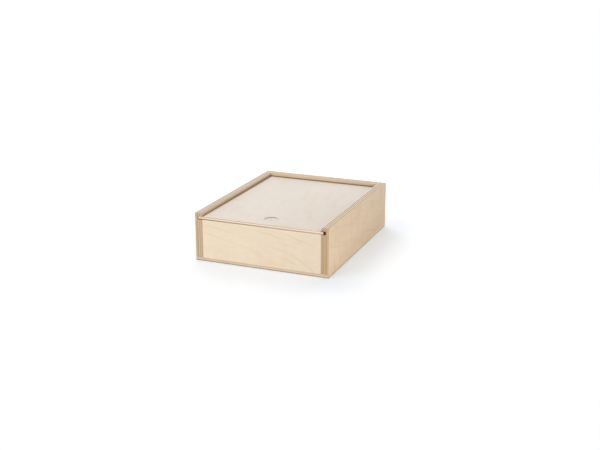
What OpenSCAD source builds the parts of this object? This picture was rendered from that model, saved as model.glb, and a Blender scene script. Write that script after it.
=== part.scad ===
// Plywood box with a sliding lid.
// Five glued boards make the case: two long sides, a front and a back set between them,
// and a thin bottom board under all four. The lid slides out to the front, in a groove
// that runs along both sides and across the back.
// The origin is the middle of the footprint, on the surface that the box stands on.
// The front faces -Y, and the lid opens that way.

/* [Case] */
// Outside width, across the front
box_w = 160; // [110:1:320]
// Outside depth, from front to back
box_d = 200; // [120:1:400]
// Height of the four walls, without the bottom board
wall_h = 52; // [30:1:160]
// Thickness of the four walls
wall_t = 9; // [8:0.5:15]
// Number of plies in a wall
wall_plies = 7; // [3:2:11]
// Thickness of the bottom board
bottom_t = 4; // [3:0.5:9]
// Number of plies in the bottom board
bottom_plies = 3; // [3:2:7]

/* [Groove] */
// Wood left in the walls above the groove
groove_lip = 3.5; // [2:0.1:8]
// Depth of the groove, from the inner face into the wall
groove_depth = 5.1; // [4.5:0.1:6]
// Gap between the lid and the floor of the groove
lid_clearance = 0.2; // [0.2:0.05:0.6]
// Gap above the lid, which lies loose in the groove
lid_headroom = 0.4; // [0.2:0.05:1]

/* [Lid] */
// Thickness of the lid
lid_t = 3.2; // [3:0.1:6]
// Number of plies in the lid
lid_plies = 3; // [3:2:7]
// Gap at the left edge of the lid, which is pushed to that side
left_gap = 0.3; // [0.2:0.1:0.5]
// Gap at the right edge of the lid, where the groove shows beside it
right_gap = 2.8; // [0.3:0.1:3.5]
// Gap behind the lid, in the groove of the back panel
back_gap = 0.6; // [0.3:0.1:2]
// How far the front panel ends below the floor of the groove
front_drop = 0.1; // [0.1:0.1:1]

/* [Finger recess] */
// Diameter of the round recess in the lid
recess_d = 16; // [10:0.5:24]
// Depth of the recess
recess_depth = 0.9; // [0.5:0.1:1.9]
// Distance of its middle from the front edge of the lid
recess_setback = 20.5; // [13:0.5:40]
// Distance of its middle to the right of the middle of the box
recess_offset = 4.5; // [-20:0.5:20]
// Diameter of the pit that the point of the bit left in the middle
point_d = 1.6; // [0.8:0.1:3]
// Depth of that pit below the floor of the recess
point_depth = 0.8; // [0.2:0.1:1]

/* [Hidden] */
$fn = 64;

// Plies are counted across the thickness, along one of these axes.
across_x = 0;
across_y = 1;
across_z = 2;

// How far a cut runs past the face that it starts from.
overrun = 1;

inner_w = box_w - 2 * wall_t;
top_z = bottom_t + wall_h;
front_y = -box_d / 2;
back_inner_y = box_d / 2 - wall_t;

groove_h = lid_clearance + lid_t + lid_headroom;
groove_z = top_z - groove_lip - groove_h;

lid_left_x = -inner_w / 2 - groove_depth + left_gap;
lid_w = inner_w + 2 * groove_depth - left_gap - right_gap;
lid_d = back_inner_y + groove_depth - back_gap - front_y;
lid_z = groove_z + lid_clearance;

face_ply = [0.90, 0.82, 0.68];
cross_ply = [0.72, 0.57, 0.40];

function ply_size(size, plies, across) =
    [for (k = [0 : 2]) k == across ? size[k] / plies : size[k]];
function ply_place(size, plies, across, count) =
    [for (k = [0 : 2]) k == across ? count * size[k] / plies : 0];

// Every second ply has its grain turned, so it shows as a darker line along the edge.
module cross_plies(size, plies, across) {
    for (count = [1 : 2 : plies - 2])
        translate(ply_place(size, plies, across, count))
            cube(ply_size(size, plies, across));
}

// A plywood board, with its cross plies let into the face plies.
module plywood(size, plies, across) {
    color(face_ply) difference() {
        cube(size);
        cross_plies(size, plies, across);
    }
    color(cross_ply) cross_plies(size, plies, across);
}

// The left wall. Its groove is open at both ends of the board.
module side_board() {
    difference() {
        translate([-box_w / 2, front_y, bottom_t])
            plywood([wall_t, box_d, wall_h], wall_plies, across_x);
        translate([-inner_w / 2 - groove_depth, front_y - overrun, groove_z])
            cube([groove_depth + overrun, box_d + 2 * overrun, groove_h]);
    }
}

module left_side() {
    side_board();
}

module right_side() {
    mirror([1, 0, 0]) side_board();
}

// The front ends below the groove, so that the lid passes over it.
module front_panel() {
    translate([-inner_w / 2, front_y, bottom_t])
        plywood([inner_w, wall_t, groove_z - front_drop - bottom_t], wall_plies, across_y);
}

// The back is as high as the sides, and its groove takes the rear edge of the lid.
module back_panel() {
    difference() {
        translate([-inner_w / 2, back_inner_y, bottom_t])
            plywood([inner_w, wall_t, wall_h], wall_plies, across_y);
        translate([-inner_w / 2 - overrun, back_inner_y - overrun, groove_z])
            cube([inner_w + 2 * overrun, groove_depth + overrun, groove_h]);
    }
}

module bottom_board() {
    translate([-box_w / 2, front_y, 0])
        plywood([box_w, box_d, bottom_t], bottom_plies, across_z);
}

// A flat-bottomed bore for a fingertip, with the pit of the bit in its floor.
module finger_recess() {
    translate([recess_offset, front_y + recess_setback, lid_z + lid_t - recess_depth]) {
        cylinder(d = recess_d, h = recess_depth + overrun);
        translate([0, 0, -point_depth])
            cylinder(d1 = 0, d2 = point_d, h = point_depth);
    }
}

// The front edge of the lid is flush with the front of the box.
module sliding_lid() {
    difference() {
        translate([lid_left_x, front_y, lid_z])
            plywood([lid_w, lid_d, lid_t], lid_plies, across_z);
        finger_recess();
    }
}

left_side();
right_side();
front_panel();
back_panel();
bottom_board();
sliding_lid();
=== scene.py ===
import math

import bmesh
import bpy
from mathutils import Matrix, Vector, noise


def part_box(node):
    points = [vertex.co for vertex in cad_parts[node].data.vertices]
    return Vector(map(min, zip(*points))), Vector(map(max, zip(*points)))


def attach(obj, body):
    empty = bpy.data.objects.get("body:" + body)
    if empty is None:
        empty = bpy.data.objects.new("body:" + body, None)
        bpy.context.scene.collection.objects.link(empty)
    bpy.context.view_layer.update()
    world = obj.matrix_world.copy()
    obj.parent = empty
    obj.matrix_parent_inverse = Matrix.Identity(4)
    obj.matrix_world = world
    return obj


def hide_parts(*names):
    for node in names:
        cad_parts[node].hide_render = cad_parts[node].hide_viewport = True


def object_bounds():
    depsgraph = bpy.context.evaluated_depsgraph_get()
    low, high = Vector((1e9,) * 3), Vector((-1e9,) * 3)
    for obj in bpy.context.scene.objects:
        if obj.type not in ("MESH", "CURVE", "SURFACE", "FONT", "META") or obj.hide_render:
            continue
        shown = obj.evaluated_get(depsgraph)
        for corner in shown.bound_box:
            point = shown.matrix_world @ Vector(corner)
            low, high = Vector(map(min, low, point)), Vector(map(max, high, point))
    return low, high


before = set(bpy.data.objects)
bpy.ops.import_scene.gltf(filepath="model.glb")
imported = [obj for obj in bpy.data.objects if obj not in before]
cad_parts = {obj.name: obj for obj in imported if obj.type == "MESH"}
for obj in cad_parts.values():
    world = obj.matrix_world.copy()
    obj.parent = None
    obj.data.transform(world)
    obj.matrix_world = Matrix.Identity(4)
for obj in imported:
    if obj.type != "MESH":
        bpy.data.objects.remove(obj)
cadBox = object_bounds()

mm = 0.001
xAxis, yAxis, zAxis = 0, 1, 2

scene = bpy.context.scene
scene.view_settings.view_transform = "Standard"
print("frame loaded:", len(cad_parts), "boards")


class Wire:
    # one output socket; arithmetic on it adds Math nodes
    def __init__(self, sheet, socket):
        self.sheet = sheet
        self.socket = socket

    def __add__(self, other):
        return self.sheet.math("ADD", self, other)

    def __sub__(self, other):
        return self.sheet.math("SUBTRACT", self, other)

    def __rsub__(self, other):
        return self.sheet.math("SUBTRACT", other, self)

    def __mul__(self, other):
        return self.sheet.math("MULTIPLY", self, other)

    def __truediv__(self, other):
        return self.sheet.math("DIVIDE", self, other)

    def __pow__(self, other):
        return self.sheet.math("POWER", self, other)

    def __mod__(self, other):
        return self.sheet.math("FLOORED_MODULO", self, other)

    def __abs__(self):
        return self.sheet.math("ABSOLUTE", self)

    __radd__ = __add__
    __rmul__ = __mul__


seedShift = (3.71, 5.13, 2.37)  # how far each seed moves the noise, along the three axes


def solid(colour):
    return (*colour, 1.0)


class NodeSheet:
    def __init__(self, tree):
        self.tree = tree
        self.tree.nodes.clear()

    def add(self, kind, settings=None, sockets=None, out=0):
        made = self.tree.nodes.new("ShaderNode" + kind)
        for name, value in (settings or {}).items():
            setattr(made, name, value)
        for name, value in (sockets or {}).items():
            if isinstance(value, Wire):
                self.tree.links.new(value.socket, made.inputs[name])
            else:
                made.inputs[name].default_value = value
        return Wire(self, made.outputs[out]) if made.outputs else None

    def math(self, operation, *values):
        return self.add("Math", {"operation": operation}, dict(enumerate(values)))

    # the Mix node's sockets for colours have these numbers
    def mix(self, first, second, share, blend="MIX"):
        sockets = {0: share, 6: first, 7: second}
        return self.add("Mix", {"data_type": "RGBA", "blend_type": blend}, sockets, out=2)

    def tinted(self, colour, tint, share):
        return self.mix(colour, solid(tint), share, "MULTIPLY")

    def scaled(self, vector, factor):
        return self.add("VectorMath", {"operation": "SCALE"}, {0: vector, "Scale": factor})

    def parts(self, vector):
        first = self.add("SeparateXYZ", None, {0: vector})
        return [Wire(self, output) for output in first.socket.node.outputs]

    def ease(self, value, low, high):
        sockets = {"Value": value, "From Min": low, "From Max": high}
        return self.add("MapRange", {"interpolation_type": "SMOOTHSTEP"}, sockets)

    # soft noise from 0 to 1; row is a line of faceNoise or edgeNoise
    def cloud(self, where, axis, row, seed):
        along, other, step, detail, rough, levels = row
        scale = [1 / (along if k == axis else other) for k in range(3)]
        shift = [(seed + step) * apart for apart in seedShift]
        spot = self.add("VectorMath", {"operation": "MULTIPLY_ADD"}, {0: where, 1: scale, 2: shift})
        sockets = {"Vector": spot, "Scale": 1.0, "Detail": detail, "Roughness": rough}
        soft = self.add("TexNoise", None, sockets)
        return self.ease(soft, *levels) if levels else soft

    def finish(self, colour, roughness, height, strength, depth):
        bump = self.add("Bump", None, {"Strength": strength, "Distance": depth * mm, "Height": height})
        sockets = {"Base Color": colour, "Roughness": roughness, "Normal": bump}
        self.add("OutputMaterial", None, {"Surface": self.add("BsdfPrincipled", None, sockets)})


def newMaterial(name):
    material = bpy.data.materials.new(name)
    material.use_nodes = True
    return material, NodeSheet(material.node_tree)


# size along the grain and across it in mm, seed step, detail, roughness, levels it is eased between
faceNoise = {
    "waver": (70, 22, 0, 2.0, 0.5, None),  # of the growth lines
    "strength": (30, 9, 1, 2.0, 0.5, (0.3, 0.62)),  # of the growth lines
    "patch": (130, 38, 2, 2.0, 0.5, (0.3, 0.7)),
    "flame": (11, 34, 3, 1.5, 0.5, None),
    "fibre": (16, 0.45, 4, 3.0, 0.6, None),
    "pore": (1.9, 0.16, 5, 1.0, 0.5, (0.66, 0.76)),
    "dash": (13, 1.3, 6, 2.0, 0.5, (0.53, 0.72)),
    "mottle": (8, 3.5, 7, 3.0, 0.65, None),
}


# the face of a board: rotary-cut birch, with growth lines, flame, fibre and pores
def veneer(name, wood):
    material, n = newMaterial(name)
    where = n.scaled(n.add("TexCoord", out="Object"), 1 / mm)
    parts = n.parts(where)
    clouds = {part: n.cloud(where, wood["grain"], row, wood["seed"]) for part, row in faceNoise.items()}
    strength, fibre, pore = clouds["strength"], clouds["fibre"], clouds["pore"]
    waver, flame, mottle = [clouds[part] - 0.5 for part in ("waver", "flame", "mottle")]
    along = parts[wood["grain"]] - wood["middle"][0]
    across = parts[wood["side"]] - wood["middle"][1]

    # growth lines: faint ones a spacing apart, and arches that each have their tip somewhere
    bowed = along * wood["slope"][0] + across * wood["slope"][1]
    bowed = bowed + across * across * wood["bow"] + waver * wood["waver"]
    steepness = (1 + (across * (2 * wood["bow"]) + wood["slope"][1]) ** 2.0) ** 0.5
    phase = bowed / wood["spacing"]
    near = abs(phase % 1.0 - 0.5) * wood["spacing"] / steepness
    lines = (1 - n.ease(near, 0.0, wood["lineWidth"])) * strength * wood["lineDepth"]
    fineLine = (1 - abs(((phase * wood["fineRate"]) % 1.0) * 2 - 1)) ** 2.0
    lines = lines + fineLine * (1 - strength) * wood["fineDepth"]
    for tip, depth in wood["arches"]:
        inside = (tip - bowed) / steepness
        line = 1 - n.ease(abs(inside), 0.0, wood["lineWidth"])
        shade = n.ease(inside, -0.3, 0.5) * (1 - n.ease(inside, 0.0, wood["archShade"]))
        lines = lines + (line * (strength * 0.8 + 0.2) + shade * strength * 0.2) * depth

    tone = n.mix(solid(wood["pale"]), solid(wood["deep"]), clouds["patch"])
    colour = n.mix(tone, solid(wood["lineTone"]), lines + clouds["dash"] * wood["dashDepth"])

    # single streaks of tinted wood that fade at both ends, and bands straight along an edge
    for begin, length, at, slant, bend, width, tint in wood["streaks"]:
        run = along - begin
        off = across - at - run * slant - run * run * bend + waver * wood["streakWaver"]
        ends = n.ease(run, 0.0, length * 0.3) * (1 - n.ease(run, length * 0.6, length))
        share = (1 - n.ease(abs(off), width * 0.1, width * 1.3)) * ends * (strength * 0.5 + 0.5)
        colour = n.tinted(colour, tint, share)
    for axis, at, whole, reach, tint in wood["bands"]:
        colour = n.tinted(colour, tint, 1 - n.ease(abs(parts[axis] - at), whole, reach))

    level = 1 + flame * wood["flame"] + (fibre - 0.5) * wood["fibre"] - pore * wood["pore"]
    # the level falls along one axis: painted falloff of light
    level = level + mottle * wood["mottle"] + parts[wood["paintedFalloffAxis"]] * (wood["paintedFalloff"] / 100)
    roughness = wood["roughness"] + (fibre - 0.5) * wood["fibreRough"] + pore * wood["poreRough"]
    height = fibre * wood["fibreHeight"] - pore * wood["poreHeight"] + lines * wood["lineHeight"]
    n.finish(n.scaled(colour, level), roughness, height, wood["bump"], wood["bumpDepth"])
    return material


# size through the plies and along them in mm, seed step, detail, roughness, levels it is eased between
edgeNoise = {
    "sway": (28, 28, 0, 2.0, 0.5, None),
    "checks": (2.6, 0.55, 1, 1.5, 0.5, (0.54, 0.68)),
    "speckle": (0.2, 0.2, 2, 2.0, 0.5, None),
    "streak": (0.3, 12, 3, 3.0, 0.6, None),
    "patch": (4, 22, 4, 1.0, 0.5, None),
}
plyShift = 13.7  # how far each ply moves the noise on
levelShift = 1.7  # how far each seed moves the plies' own levels on


# the edge of a board: plies whose grain runs along the edge or straight out of it
def plyEdge(name, ply):
    material, n = newMaterial(name)
    where = n.scaled(n.add("TexCoord", out="Object"), 1 / mm)
    parts = n.parts(where)
    normal = n.parts(n.add("TexCoord", out="Normal"))
    across, plies, seed = ply["across"], ply["plies"], ply["seed"]

    sway = (n.cloud(where, across, edgeNoise["sway"], seed) - 0.5) * ply["sway"]
    depth = (parts[across] - ply["start"]) / ply["thickness"] * plies + sway
    margin = 0.001  # keeps the board's own faces in its outer plies
    depth = n.math("MINIMUM", n.math("MAXIMUM", depth, margin), plies - margin)
    number = n.math("FLOOR", depth)
    within = depth - number
    crossed = number % 2.0

    faceGrain, crossGrain = ply["grains"]
    faceEndness = abs(normal[faceGrain] - normal[crossGrain] * ply["slant"])
    endness = faceEndness * (1 - crossed) + abs(normal[crossGrain]) * crossed
    endness = n.ease(endness, *ply["endTurn"])

    own = n.add("TexWhiteNoise", {"noise_dimensions": "1D"}, {"W": number + seed * levelShift})
    apart = n.add("VectorMath", {"operation": "ADD"}, {0: where, 1: number * plyShift})
    checks = n.cloud(apart, across, edgeNoise["checks"], seed)
    speckle = n.cloud(apart, across, edgeNoise["speckle"], seed)
    streak = n.cloud(apart, across, edgeNoise["streak"], seed)
    patch = n.cloud(apart, across, edgeNoise["patch"], seed)

    # dark glue lines, but none on the board's own faces
    rim = n.math("MINIMUM", within, 1 - within) * (ply["thickness"] / plies)
    glue = (1 - n.ease(rim, *ply["glueLine"])) * n.ease(depth * (plies - depth), 0.2, 0.5)
    longLevel = 1 + (streak - 0.5) * ply["streak"]
    endLevel = 1 - checks * ply["checks"] + (speckle - 0.5) * ply["speckle"]
    level = longLevel * (1 - endness) + endLevel * endness
    level = level * (1 + (own - 0.5) * ply["uneven"] + (patch - 0.5) * ply["patch"] - glue * ply["glue"])

    longTone = n.mix(solid(ply["faceLong"]), solid(ply["crossLong"]), crossed)
    endTone = n.mix(solid(ply["faceEnd"]), solid(ply["crossEnd"]), crossed)
    colour = n.mix(longTone, endTone, endness)
    onEnd = n.ease(abs(normal[yAxis]), *ply["endTurn"])
    for which, (topTint, endTint) in enumerate(ply["tints"]):
        tint = n.mix(solid(topTint), solid(endTint), onEnd)
        colour = n.mix(colour, tint, n.math("COMPARE", number, which, 0.1), "MULTIPLY")

    roughness = ply["roughness"] + endness * ply["endRough"]
    height = (1 - endness) * streak * ply["streakHeight"] - endness * checks * ply["checkHeight"]
    height = height - glue * ply["glueHeight"]
    n.finish(n.scaled(colour, level), roughness, height, ply["bump"], ply["bumpDepth"])
    return material


# radii of the edges, in millimetres
easing = {
    "open": 0.28,  # what sanding leaves on an open edge
    "cut": 0.12,  # along the mouth of the groove
    "inside": 0.2,  # in the inner corners of the groove
    "hairline": 0.05,  # where two glued boards meet
    "joint": 0.18,  # where the front and the sides meet at the front
    "runOut": 0.3,  # length before the glued-on back from which an open edge runs out
    "least": 0.015,  # none gets smaller than this
    "uneven": 0.45,  # share by which a radius varies along a board
    "waveRate": 0.06,  # how fast it does
    "edgeShift": 4.3,  # keeps the waves of two edges apart
    "boardShift": 9.1,  # and those of two boards
    "steps": 3,  # faces round an edge
}
turns = [math.pi / 2 * k / easing["steps"] for k in range(easing["steps"] + 1)]
quarterTurn = [(math.sin(turn), math.cos(turn)) for turn in turns]  # what every eased edge is made of

faceLook, edgeLook, grooveLook, lipLook = 0, 1, 2, 3  # order of a board's materials
boredLook = 2  # the lid's third one


# look and endInset belong to the face that runs on from this corner, towards the next one;
# from the place gluedFrom on, the corner is only a hairline
def corner(at, ease, look, endInset=easing["open"], gluedFrom=math.inf):
    return {"at": at, "ease": ease, "look": look, "endInset": endInset, "gluedFrom": gluedFrom}


# points of a board's section, with each corner eased to its own radius
def sectionPoints(corners, radii, share):
    points = []
    count = len(corners)
    for k, radius in enumerate(radii):
        here = Vector(corners[k]["at"])
        inward = (here - Vector(corners[k - 1]["at"])).normalized()
        onward = (Vector(corners[(k + 1) % count]["at"]) - here).normalized()
        here += Vector((-inward.y, inward.x)) * (share * corners[k - 1]["endInset"])
        here += Vector((-onward.y, onward.x)) * (share * corners[k]["endInset"])
        middle = here + (onward - inward) * radius
        for sine, cosine in quarterTurn:
            points.append(middle + radius * (inward * sine - onward * cosine))
    return points


# turns a finished bmesh into an object of the scene
def putDown(name, mesh, looks):
    made = bpy.data.meshes.new(name)
    mesh.to_mesh(made)
    mesh.free()
    for look in looks:
        made.materials.append(look)
    thing = bpy.data.objects.new(name, made)
    scene.collection.objects.link(thing)
    return thing


# one board: its section is carried along the run, through stations about a pitch apart
def sawBoard(name, board, looks):
    run, corners = board["run"], board["corners"]
    first, second = [axis for axis in range(3) if axis != run]
    low, high = board["ends"]
    pieces = round((high - low) / board["pitch"])
    # a station: place on the run, share of the end's easing
    lowEnd = [(low + board["endEase"] * (1 - sine), 1 - cosine) for sine, cosine in quarterTurn]
    stations = lowEnd + [(low + high - place, share) for place, share in lowEnd]
    stations += [(low + (high - low) * k / pieces, 0.0) for k in range(1, pieces)]
    stations += [(place, 0.0) for place in board.get("extra", [])]

    mesh = bmesh.new()
    loops = []
    for place, share in sorted(stations):
        radii = []
        for k, point in enumerate(corners):
            ease = easing["hairline"] if place >= point["gluedFrom"] else point["ease"]
            along = place * easing["waveRate"]
            apart = board["seed"] * easing["boardShift"]
            wave = noise.noise(Vector((along, k * easing["edgeShift"], apart)))
            radii.append(max(easing["least"], ease * (1 + easing["uneven"] * wave)))
        loop = []
        for point in sectionPoints(corners, radii, share):
            spot = [0.0, 0.0, 0.0]
            spot[run] = place * mm
            spot[first] = point.x * mm
            spot[second] = point.y * mm
            loop.append(mesh.verts.new(spot))
        loops.append(loop)

    size = len(loops[0])
    for before, after in zip(loops, loops[1:]):
        for k in range(size):
            onward = (k + 1) % size
            face = mesh.faces.new((before[k], before[onward], after[onward], after[k]))
            which, step = divmod(k, len(quarterTurn))
            onFlat = step == easing["steps"]
            face.material_index = corners[which]["look"] if onFlat else edgeLook
    for loop in (loops[0], loops[-1]):
        cap = mesh.faces.new(loop)
        cap.material_index = edgeLook
    bmesh.ops.recalc_face_normals(mesh, faces=mesh.faces)
    bmesh.ops.triangulate(mesh, faces=[face for face in mesh.faces if len(face.verts) > 4])
    return putDown(name, mesh, looks)


def finishPiece(piece, body, node):
    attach(piece, body)
    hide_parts(node)
    print("made", piece.name, "with", len(piece.data.polygons), "faces")


# lowest and highest corner of a board as the model was packed, in millimetres
def nodeBox(node):
    low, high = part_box(node)
    return [value / mm for value in low], [value / mm for value in high]


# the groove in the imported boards, in millimetres
groove = {
    "lip": 3.5,  # wood above it
    "height": 3.8,
    "depth": 5.1,  # into the wall from its inner face
}

# what the faces of all boards share; lengths in millimetres
birch = {
    "slope": (0.25, 1.0),  # of the growth lines, along the grain and across it
    "bow": 0.0,  # how much they bend
    "arches": [],  # place of the tip, depth
    "streaks": [],  # start and length along the grain, place across it, slant, bend, width, tint
    "bands": [],  # axis, place on it, reach at full strength, whole reach, tint
    "fineRate": 2.7,  # fine lines to a growth line
    "archShade": 5.0,  # reach of the shade inside an arch
    "streakWaver": 5.0,
    "paintedFalloff": 0.0,  # painted shade: change of level over 100 mm, copying light that falls off across the board
    "paintedFalloffAxis": xAxis,
    "fineDepth": 0.03, "dashDepth": 0.12, "mottle": 0.10, "fibre": 0.09, "pore": 0.12,
    "roughness": 0.5, "fibreRough": 0.16, "poreRough": 0.15,
    "fibreHeight": 0.5, "poreHeight": 0.8, "lineHeight": 0.4, "bump": 0.35, "bumpDepth": 0.05,
}
# what the edges of all boards share; lengths in millimetres
plyWood = {
    "slant": 0.0,  # how far the grain of the face plies runs off its axis
    "endTurn": (0.3, 0.75),  # share of the normal along the grain, where end grain begins and is full
    "glueLine": (0.03, 0.12),  # distance from a joint, where the glue begins to fade and is gone
    "streak": 0.22, "speckle": 0.2, "patch": 0.16,
    "roughness": 0.62, "endRough": 0.14,
    "streakHeight": 0.5, "checkHeight": 0.9, "glueHeight": 0.6, "bump": 0.5, "bumpDepth": 0.06,
    "tints": [],  # each ply's tint, on top and at the end of the board; on some boards it holds painted shade and sheen
}

sideTones = {
    "pale": (0.888, 0.686, 0.470), "deep": (0.848, 0.636, 0.422), "lineTone": (0.62, 0.40, 0.22),
}
sideVeneer = {
    **birch, **sideTones, "grain": yAxis, "side": zAxis, "middle": (0, 0),
    "paintedFalloffAxis": yAxis, "paintedFalloff": -0.092,
    "spacing": 22, "waver": 16, "lineWidth": 1.6, "lineDepth": 0.16, "flame": 0.17,
    "dashDepth": 0.20, "mottle": 0.15,
    "streaks": [
        (-90, 100, 39, -0.35, 0.0012, 1.2, (0.95, 0.935, 0.92)),
        (10, 92, 54.5, -0.15, -0.0012, 1.2, (0.94, 0.92, 0.90)),
        (-4, 76, 23.5, -0.25, 0.0, 1.2, (0.94, 0.925, 0.905)),
    ],
}
# tones of plies whose grain lies as on the face, and of those laid across it
wallEdge = {
    **plyWood, "thickness": 9.0, "plies": 7, "sway": 0.12, "uneven": 0.06, "checks": 0.26, "glue": 0.36,
    "faceLong": (0.80, 0.665, 0.52), "crossEnd": (0.44, 0.33, 0.23),
    "faceEnd": (0.594, 0.427, 0.27), "crossLong": (0.64, 0.457, 0.292),
}
# each ply's tint on top and at the end; here, in rightTints and in crossWallTints the tints on top make
# the tops paler and greyer, partly the plies' own tone and partly painted sheen
leftTints = [
    ((1.08, 1.18, 1.30), (1.00, 1.00, 1.00)),
    ((1.02, 1.09, 1.18), (1.02, 1.02, 1.02)),
    ((1.06, 1.08, 1.12), (0.83, 0.83, 0.83)),
    ((1.17, 1.15, 1.14), (1.11, 1.11, 1.11)),
    ((1.07, 1.04, 1.01), (0.91, 0.91, 0.91)),
    ((0.95, 0.94, 0.92), (1.07, 1.07, 1.07)),
    ((0.98, 0.98, 0.98), (0.93, 0.93, 0.93)),
]
rightTints = [
    ((1.22, 1.22, 1.21), (0.94, 0.90, 0.84)),
    ((0.94, 0.94, 0.93), (0.83, 0.81, 0.74)),
    ((1.06, 1.05, 1.03), (0.93, 0.90, 0.83)),
    ((1.04, 1.02, 0.99), (1.04, 1.00, 0.93)),
    ((1.13, 1.10, 1.02), (0.79, 0.76, 0.71)),
    ((1.05, 0.99, 0.90), (1.02, 0.99, 0.91)),
    ((0.86, 0.82, 0.77), (0.93, 0.91, 0.84)),
]
crossWallTints = [
    ((1.00, 1.02, 1.04), (1.00, 1.00, 1.00)),
    ((0.94, 0.96, 0.97), (0.95, 0.95, 0.95)),
    ((0.99, 1.00, 1.01), (1.02, 1.02, 1.02)),
    ((1.11, 1.13, 1.15), (1.00, 1.00, 1.00)),
    ((1.03, 1.06, 1.08), (0.98, 0.98, 0.98)),
    ((0.98, 1.02, 1.09), (0.95, 0.95, 0.95)),
    ((1.04, 1.07, 1.14), (1.00, 1.00, 1.00)),
]
# the groove's wood is nearly black: painted shade of the deep groove
groovePaintedShadeWood = {
    "faceLong": (0.18, 0.10, 0.05), "crossEnd": (0.16, 0.08, 0.04),
    "faceEnd": (0.16, 0.08, 0.04), "crossLong": (0.18, 0.10, 0.05),
}
# the lip's inner face is darker than the rest of the side board: painted shade inside the wall
lipPaintedShadeTones = {
    "pale": (0.64, 0.475, 0.305), "deep": (0.58, 0.42, 0.26), "lineTone": (0.43, 0.29, 0.17),
    "bands": [(zAxis, 52.2, 0.5, 1.1, (0.30, 0.19, 0.11))],  # painted shade of the gap where it comes near the lid
}


# a side board, with the groove run through from end to end; hand is -1 on the left and 1 on the right
def makeSide(name, node, hand, tints, seed):
    low, high = nodeBox(node)
    outer, inner = (low[0], high[0]) if hand < 0 else (high[0], low[0])
    bottom, top = low[2], high[2]
    back = inner + hand * groove["depth"]
    ceiling = top - groove["lip"]
    floor = ceiling - groove["height"]
    opened, cut, hair, inside = [easing[part] for part in ("open", "cut", "hairline", "inside")]
    behind = high[1] - wallEdge["thickness"]  # where the back is glued on
    points = [
        corner((outer, bottom), hair, edgeLook, hair),
        corner((inner, bottom), hair, faceLook, easing["joint"]),
        corner((inner, floor), cut, grooveLook, cut),
        corner((back, floor), inside, grooveLook, cut),
        corner((back, ceiling), inside, grooveLook, cut),
        corner((inner, ceiling), cut, lipLook),
        corner((inner, top), opened, edgeLook, gluedFrom=behind),
        corner((outer, top), opened, faceLook),
    ]
    if hand > 0:  # the same section, mirrored, still runs anticlockwise
        faces = [(point["look"], point["endInset"]) for point in points]
        for k, point in enumerate(points):
            point["look"], point["endInset"] = faces[k - 1]
        points.reverse()
    board = {
        "run": yAxis, "ends": (low[1], high[1]), "endEase": opened, "pitch": 9, "seed": seed,
        "extra": [behind - easing["runOut"]], "corners": points,
    }
    layers = {
        **wallEdge, "across": xAxis, "start": low[0], "grains": (yAxis, zAxis), "tints": tints,
        "seed": seed + 11,
    }
    looks = [
        veneer(node + "Veneer", {**sideVeneer, "seed": seed}),
        plyEdge(node + "Edge", layers),
        plyEdge(node + "Groove", {**layers, **groovePaintedShadeWood}),
        veneer(node + "Lip", {**sideVeneer, **lipPaintedShadeTones, "seed": seed}),
    ]
    finishPiece(sawBoard(name, board, looks), "case", node)


makeSide("side_board_left", "left_side", -1, leftTints, 3)
makeSide("side_board_right", "right_side", 1, rightTints, 5)

frontVeneer = {
    **birch, "grain": xAxis, "side": zAxis, "middle": (-71, 4), "slope": (1.0, 0.0), "bow": 0.085,
    "spacing": 31, "waver": 16, "lineWidth": 1.3, "lineDepth": 0.10, "fineDepth": 0.08,
    "flame": 0.05, "paintedFalloff": -0.052, "seed": 21,
    "pale": (0.87, 0.74, 0.58), "deep": (0.84, 0.705, 0.54), "lineTone": (0.76, 0.54, 0.30),
    "arches": [(80, 0.38), (131, 0.38), (196, 0.12)],
    "streaks": [
        (44, 42, 20.0, -0.05, -0.0095, 1.2, (0.95, 0.92, 0.86)),
        (62, 44, 42.5, -0.25, 0.0, 1.4, (0.955, 0.935, 0.89)),
        (92, 56, 42.0, -0.29, 0.0, 1.4, (0.95, 0.92, 0.88)),
        (92, 26, 29.0, -0.13, 0.0, 1.4, (0.96, 0.94, 0.93)),
        (94, 22, 14.0, -0.35, 0.0, 1.6, (0.96, 0.94, 0.90)),
        (74, 28, 5.6, -0.06, 0.0, 3.4, (1.02, 0.955, 0.83)),
        (9, 18, 10.0, 0.1, 0.0, 8.0, (0.97, 0.94, 0.91)),
    ],
    # paler along the top: a painted highlight; and a dark joint at either end
    "bands": [
        (zAxis, 48.6, 0.0, 2.4, (1.05, 1.06, 1.08)),
        (xAxis, -71.0, 0.0, 0.5, (0.55, 0.44, 0.34)),
        (xAxis, 71.0, 0.0, 0.5, (0.50, 0.40, 0.31)),
    ],
}


def makeFront():
    low, high = nodeBox("front_panel")
    opened, cut, hair = easing["open"], easing["cut"], easing["hairline"]
    board = {
        "run": xAxis, "ends": (low[0], high[0]), "endEase": easing["joint"], "pitch": 9, "seed": 7,
        "corners": [
            corner((low[1], low[2]), hair, edgeLook, hair),
            corner((high[1], low[2]), hair, faceLook, hair),
            corner((high[1], high[2]), opened, edgeLook, hair),
            corner((low[1], high[2]), cut, faceLook, easing["joint"]),
        ],
    }
    layers = {
        **wallEdge, "across": yAxis, "start": low[1], "grains": (xAxis, zAxis),
        "tints": crossWallTints, "seed": 31,
    }
    looks = [veneer("frontVeneer", frontVeneer), plyEdge("frontEdge", layers)]
    finishPiece(sawBoard("front_board", board, looks), "case", "front_panel")


makeFront()

backVeneer = {
    **frontVeneer, **sideTones, "middle": (-60, 24), "bow": 0.06, "waver": 20, "seed": 27,
    "arches": [(30, 0.35), (62, 0.30), (104, 0.30), (150, 0.25)], "streaks": [], "bands": [],
}
# the back's lip is darker than its face, with a darker band near the lid: painted shade inside the wall
# and of the gap
backLipPaintedShadeTones = {
    "pale": (0.78, 0.60, 0.415), "deep": (0.74, 0.56, 0.375), "lineTone": (0.54, 0.38, 0.24),
    "bands": [(zAxis, 52.0, 0.4, 0.9, (0.42, 0.30, 0.19))],
}


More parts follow.
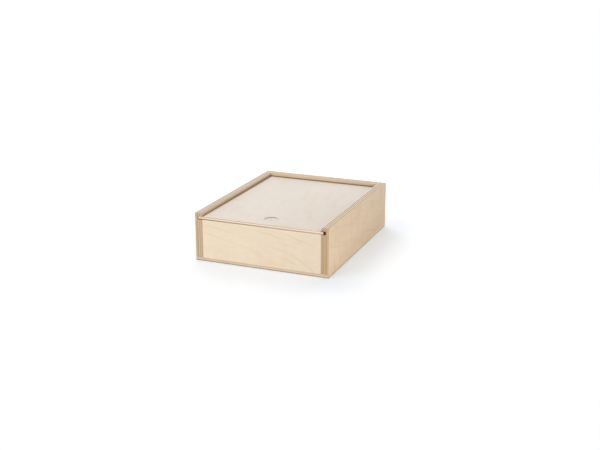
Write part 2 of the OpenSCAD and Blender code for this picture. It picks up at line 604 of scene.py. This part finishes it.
def makeBack():
    low, high = nodeBox("back_panel")
    ceiling = high[2] - groove["lip"]
    floor = ceiling - groove["height"]
    back = low[1] + groove["depth"]
    opened, cut, hair, inside = [easing[part] for part in ("open", "cut", "hairline", "inside")]
    board = {
        "run": xAxis, "ends": (low[0], high[0]), "endEase": hair, "pitch": 9, "seed": 9,
        "corners": [
            corner((low[1], low[2]), hair, edgeLook, hair),
            corner((high[1], low[2]), hair, faceLook, hair),
            corner((high[1], high[2]), opened, edgeLook, hair),
            corner((low[1], high[2]), opened, lipLook, hair),
            corner((low[1], ceiling), cut, grooveLook, hair),
            corner((back, ceiling), inside, grooveLook, hair),
            corner((back, floor), inside, grooveLook, hair),
            corner((low[1], floor), cut, faceLook, hair),
        ],
    }
    layers = {
        **wallEdge, "across": yAxis, "start": low[1], "grains": (xAxis, zAxis),
        "tints": crossWallTints, "seed": 33,
    }
    looks = [
        veneer("backVeneer", backVeneer),
        plyEdge("backEdge", layers),
        plyEdge("backGroove", {**layers, **groovePaintedShadeWood}),
        veneer("backLip", {**backVeneer, **backLipPaintedShadeTones}),
    ]
    finishPiece(sawBoard("back_board", board, looks), "case", "back_panel")


makeBack()

thinEdge = {
    **plyWood, "plies": 3, "sway": 0.1, "uneven": 0.05, "checks": 0.2, "glue": 0.2,
    "across": zAxis, "grains": (yAxis, xAxis),
    "crossEnd": (0.84, 0.65, 0.45), "faceLong": (0.88, 0.69, 0.48),
}
bottomEdge = {
    **thinEdge, "faceEnd": (0.74, 0.55, 0.37), "crossLong": (0.86, 0.69, 0.51), "seed": 43,
    # the bottom ply is darker and greyer: painted contact shadow along the floor
    "tints": [
        ((0.80, 0.83, 0.86), (0.47, 0.54, 0.62)),
        ((0.97, 0.98, 0.99), (0.94, 0.94, 0.95)),
        ((1.02, 1.02, 1.02), (0.97, 0.97, 0.96)),
    ],
}
bottomVeneer = {
    **sideVeneer, "side": xAxis, "middle": (0, 10), "slope": (0.08, 1.0), "bow": 0.004,
    "spacing": 17, "seed": 41,
}


def makeBottom():
    low, high = nodeBox("bottom_board")
    opened, hair = easing["open"], easing["hairline"]
    board = {
        "run": yAxis, "ends": (low[1], high[1]), "endEase": opened, "pitch": 10, "seed": 15,
        "corners": [
            corner((low[0], low[2]), opened, faceLook),
            corner((high[0], low[2]), opened, edgeLook),
            corner((high[0], high[2]), hair, faceLook, hair),
            corner((low[0], high[2]), hair, edgeLook),
        ],
    }
    layers = {**bottomEdge, "thickness": high[2] - low[2], "start": low[2]}
    looks = [veneer("bottomVeneer", bottomVeneer), plyEdge("bottomEdge", layers)]
    finishPiece(sawBoard("thin_bottom", board, looks), "case", "bottom_board")


makeBottom()

recess = {
    "middle": (4.5, -79.5),
    "radius": 8.0,
    "depth": 0.9,
    "rim": 0.18,  # easing of its rim
    "fillet": 0.2,  # between its floor and its wall
    "pitRadius": 0.8,
    "pitDepth": 0.8,
    "segments": 128,
    "floorRings": (0.3, 0.6, 0.85),  # shares of the radius
    "overrun": 1.0,  # how far the cutter stands out of the lid
}
# how far each corner of the thin lid has warped up
lidTwist = {
    "frontLeft": 0.38, "frontRight": -0.17, "backLeft": -0.14, "backRight": -0.14,
}
sharpFrom = 25  # degrees between two faces of the recess, from which their edge stays sharp

lidVeneer = {
    **birch, "grain": yAxis, "side": xAxis, "middle": (0, 0), "slope": (0.27, 1.0), "spacing": 17,
    "waver": 20, "lineWidth": 1.5, "lineDepth": 0.08, "flame": 0.05, "paintedFalloff": -0.075,
    "roughness": 0.45, "seed": 51,
    "pale": (0.725, 0.64, 0.555), "deep": (0.71, 0.615, 0.52), "lineTone": (0.56, 0.42, 0.26),
    "streaks": [
        (-4, 74, 11, -0.17, -0.0032, 5.0, (0.99, 0.965, 0.90)),
        (-80, 66, 61, -1.0, 0.0075, 5.0, (0.975, 0.96, 0.90)),
        (-34, 84, 26.5, 0.0, -0.0028, 4.2, (0.975, 0.975, 0.91)),
        (-2, 62, 39, -0.30, 0.0022, 4.4, (0.985, 0.955, 0.91)),
        (-30, 92, 55, -0.24, 0.0012, 4.2, (0.98, 0.955, 0.90)),
        (-50, 30, 1.5, -0.45, 0.0, 1.6, (0.99, 0.95, 0.90)),
        (-36, 44, -9, 0.0, 0.0, 4.0, (0.975, 0.965, 0.945)),
        (-74, 34, -48, -0.1, 0.0, 7.0, (0.955, 0.955, 0.95)),
        (-54, 38, -26, -0.2, 0.0, 6.0, (0.965, 0.965, 0.96)),
        (30, 50, -34, -0.2, 0.0, 6.0, (0.985, 0.97, 0.965)),
    ],
    # paler beside the lips: painted light that lifts the lips' shade off the lid; darker under them:
    # painted shade of the gap under the lips
    "bands": [
        (xAxis, -66.8, 0.0, 4.6, (1.10, 1.12, 1.15)),
        (yAxis, 84.5, 0.0, 5.5, (1.10, 1.11, 1.13)),
        (xAxis, -76.0, 5.7, 7.2, (0.62, 0.48, 0.34)),
        (xAxis, 76.0, 5.0, 7.0, (0.62, 0.48, 0.34)),
        (yAxis, 96.0, 5.4, 8.4, (0.62, 0.48, 0.34)),
    ],
}
lidEdge = {
    **thinEdge, "faceEnd": (0.66, 0.50, 0.34), "crossLong": (0.90, 0.76, 0.59), "seed": 53,
    # the long edges are darker: painted shade of the deep groove they run in
    "tints": [
        ((0.45, 0.36, 0.28), (0.90, 0.81, 0.71)),
        ((0.45, 0.36, 0.28), (1.10, 1.13, 1.17)),
        ((0.45, 0.36, 0.28), (1.00, 1.01, 1.03)),
    ],
}
# the bore's wall is darkest at the back left, partly as end grain and partly painted shade, since the
# grain is slanted to put it there; the dark middle ply, reached by the pit, is painted shade of the pit
recessWood = {
    **thinEdge, "faceEnd": (0.48, 0.33, 0.20), "faceLong": (0.78, 0.68, 0.57),
    "crossEnd": (0.30, 0.21, 0.14), "crossLong": (0.30, 0.21, 0.14), "slant": 0.75, "seed": 57,
}


# the bit's shape, turned round its axis: flat floor, eased rim and the pit of its point
def boringCutter(top):
    radius, rim, fillet = recess["radius"], recess["rim"], recess["fillet"]
    floor = top - recess["depth"]
    profile = [(0.0, floor - recess["pitDepth"]), (recess["pitRadius"], floor)]
    profile += [(radius * share, floor) for share in recess["floorRings"]]
    for sine, cosine in quarterTurn:
        profile.append((radius - fillet * (1 - sine), floor + fillet * (1 - cosine)))
    for sine, cosine in quarterTurn:
        profile.append((radius + rim * (1 - cosine), top - rim * (1 - sine)))
    profile += [(radius + rim, top + recess["overrun"]), (0.0, top + recess["overrun"])]

    mesh = bmesh.new()
    count = recess["segments"]
    rings = []
    for away, height in profile:
        ring = []
        for k in range(count if away > 0 else 1):
            angle = math.tau * k / count
            x = recess["middle"][0] + away * math.cos(angle)
            y = recess["middle"][1] + away * math.sin(angle)
            ring.append(mesh.verts.new((x * mm, y * mm, height * mm)))
        rings.append(ring)
    for lower, upper in zip(rings, rings[1:]):
        for k in range(count):
            after = (k + 1) % count
            if len(lower) == 1:
                face = mesh.faces.new((lower[0], upper[after], upper[k]))
            elif len(upper) == 1:
                face = mesh.faces.new((lower[k], lower[after], upper[0]))
            else:
                face = mesh.faces.new((lower[k], lower[after], upper[after], upper[k]))
            face.material_index = boredLook
            face.smooth = len(lower) > 1 and len(upper) > 1
    bmesh.ops.recalc_face_normals(mesh, faces=mesh.faces)
    return putDown("boringCutter", mesh, [])


def makeLid():
    low, high = nodeBox("sliding_lid")
    opened = easing["open"]
    board = {
        "run": yAxis, "ends": (low[1], high[1]), "endEase": opened, "pitch": 10, "seed": 19,
        "corners": [
            corner((low[0], low[2]), opened, faceLook, easing["cut"]),
            corner((high[0], low[2]), opened, edgeLook),
            corner((high[0], high[2]), opened, faceLook),
            corner((low[0], high[2]), opened, edgeLook),
        ],
    }
    layers = {"thickness": high[2] - low[2], "start": low[2]}
    looks = [
        veneer("lidVeneer", lidVeneer),
        plyEdge("lidEdge", {**lidEdge, **layers}),
        plyEdge("recessWood", {**recessWood, **layers}),
    ]
    piece = sawBoard("lid_board", board, looks)

    cutter = boringCutter(high[2])
    bore = piece.modifiers.new("bore", "BOOLEAN")
    bore.operation = "DIFFERENCE"
    bore.solver = "EXACT"
    bore.object = cutter
    bored = piece.evaluated_get(bpy.context.evaluated_depsgraph_get())
    cut = bpy.data.meshes.new_from_object(bored)
    piece.modifiers.clear()
    piece.data = cut
    bpy.data.objects.remove(cutter)

    for vertex in cut.vertices:
        east = (vertex.co.x / mm - low[0]) / (high[0] - low[0])
        north = (vertex.co.y / mm - low[1]) / (high[1] - low[1])
        front = lidTwist["frontLeft"] * (1 - east) + lidTwist["frontRight"] * east
        back = lidTwist["backLeft"] * (1 - east) + lidTwist["backRight"] * east
        vertex.co.z += (front * (1 - north) + back * north) * mm
    cut.set_sharp_from_angle(angle=math.radians(sharpFrom))
    finishPiece(piece, "lid", "sliding_lid")


makeLid()
print("boards made")

# lengths in metres
stage = {
    "floorSize": 8.0,
    "floorColour": (0.86, 0.86, 0.86),  # what it throws back at the box
    # what the camera sees is above 1, so that only shadows show; it is cooler beside the box, a painted
    # tint that cancels the warm light the box throws there
    "sideColour": (1.06, 1.135, 1.22),
    "frontColour": (1.10, 1.155, 1.23),
    "nearReach": 0.07,
    "paperColour": (1.175, 1.185, 1.20),
    "fadeFrom": 0.35,  # distance from the middle where the floor begins to turn plain white
    "fadeTo": 0.6,
}


def layFloor():
    material, n = newMaterial("paleFloor")
    seen = n.add("LightPath", out="Is Camera Ray")
    place = n.add("TexCoord", out="Object")
    away = n.add("VectorMath", {"operation": "LENGTH"}, {0: place}, out="Value")
    plain = n.ease(away, stage["fadeFrom"], stage["fadeTo"])
    halfBox = [(cadBox[1][k] - cadBox[0][k]) / 2 for k in range(2)]
    parts = n.parts(place)
    besideX = n.math("MAXIMUM", abs(parts[0]) - halfBox[0], 0.0)
    besideY = n.math("MAXIMUM", abs(parts[1]) - halfBox[1], 0.0)
    clear = n.ease((besideX ** 2.0 + besideY ** 2.0) ** 0.5, 0.0, stage["nearReach"])
    inFront = besideY / (besideX + besideY)
    beside = n.mix(solid(stage["sideColour"]), solid(stage["frontColour"]), inFront)
    shown = n.mix(beside, solid(stage["paperColour"]), clear)
    tint = n.mix(solid(stage["floorColour"]), shown, seen)
    paper = n.add("BsdfDiffuse", None, {"Color": tint})
    white = n.add("Emission", None, {"Color": (1, 1, 1, 1), "Strength": 1.0})
    surface = n.add("MixShader", None, {0: seen * plain, 1: paper, 2: white})
    n.add("OutputMaterial", None, {"Surface": surface})

    mesh = bmesh.new()
    half = stage["floorSize"] / 2
    around = ((-half, -half, 0), (half, -half, 0), (half, half, 0), (-half, half, 0))
    mesh.faces.new([mesh.verts.new(spot) for spot in around])
    putDown("floor", mesh, [material])


layFloor()

lamps = {
    "dome": 0.553,
    "aim": (0, 0, 0.03),
    # name, place and size in metres, watts, seen in reflections
    "soft": [
        ("backLeftSoftbox", (-0.9, 0.9, 1.3), 1.0, 4.9, True),
        ("lowBackLeftSoftbox", (-0.8, 1.3, 0.7), 1.0, 2.3, True),
        ("backSoftbox", (0.0, 1.5, 0.9), 1.0, 3.9, True),
        ("frontLeftSoftbox", (-0.7, -1.1, 1.4), 1.0, 4.3, True),
        ("frontRightSoftbox", (1.0, -1.9, 0.5), 1.5, 20.1, False),
    ],
}


def hangLamps():
    world = bpy.data.worlds.new("studio")
    scene.world = world
    world.use_nodes = True
    n = NodeSheet(world.node_tree)
    # white where it is seen or mirrored, and as strong as the dome where it lights the box
    rays = ("Is Camera Ray", "Is Glossy Ray", "Is Transmission Ray")
    camera, glossy, through = [n.add("LightPath", out=ray) for ray in rays]
    shown = n.math("MAXIMUM", n.math("MAXIMUM", camera, glossy), through)
    strength = lamps["dome"] + shown * (1 - lamps["dome"])
    sky = n.add("Background", None, {"Color": (1, 1, 1, 1), "Strength": strength})
    n.add("OutputWorld", None, {"Surface": sky})
    for name, place, size, watts, mirrored in lamps["soft"]:
        data = bpy.data.lights.new(name, "AREA")
        data.shape = "SQUARE"
        data.size = size
        data.energy = watts
        holder = bpy.data.objects.new(name, data)
        holder.location = place
        toward = Vector(lamps["aim"]) - Vector(place)
        holder.rotation_euler = toward.to_track_quat("-Z", "Y").to_euler()
        holder.visible_camera = False
        holder.visible_glossy = mirrored
        scene.collection.objects.link(holder)


hangLamps()

viewpoint = {
    "place": (0.42784, -1.03678, 0.38033),
    "yaw": 22.1405,  # degrees to the left of straight back
    "pitch": 17.7491,  # degrees down
    "lens": 59.6,  # millimetres
    "sensor": 36.0,
    "clipEnd": 30.0,  # metres
}


def setCamera():
    data = bpy.data.cameras.new("camera")
    data.lens = viewpoint["lens"]
    data.sensor_width = viewpoint["sensor"]
    data.clip_end = viewpoint["clipEnd"]
    camera = bpy.data.objects.new("camera", data)
    camera.location = viewpoint["place"]
    turn = math.radians(90 - viewpoint["pitch"]), 0, math.radians(viewpoint["yaw"])
    camera.rotation_euler = turn
    scene.collection.objects.link(camera)
    scene.camera = camera


setCamera()
print("floor, lamps and camera set")

bpy.context.view_layer.update()
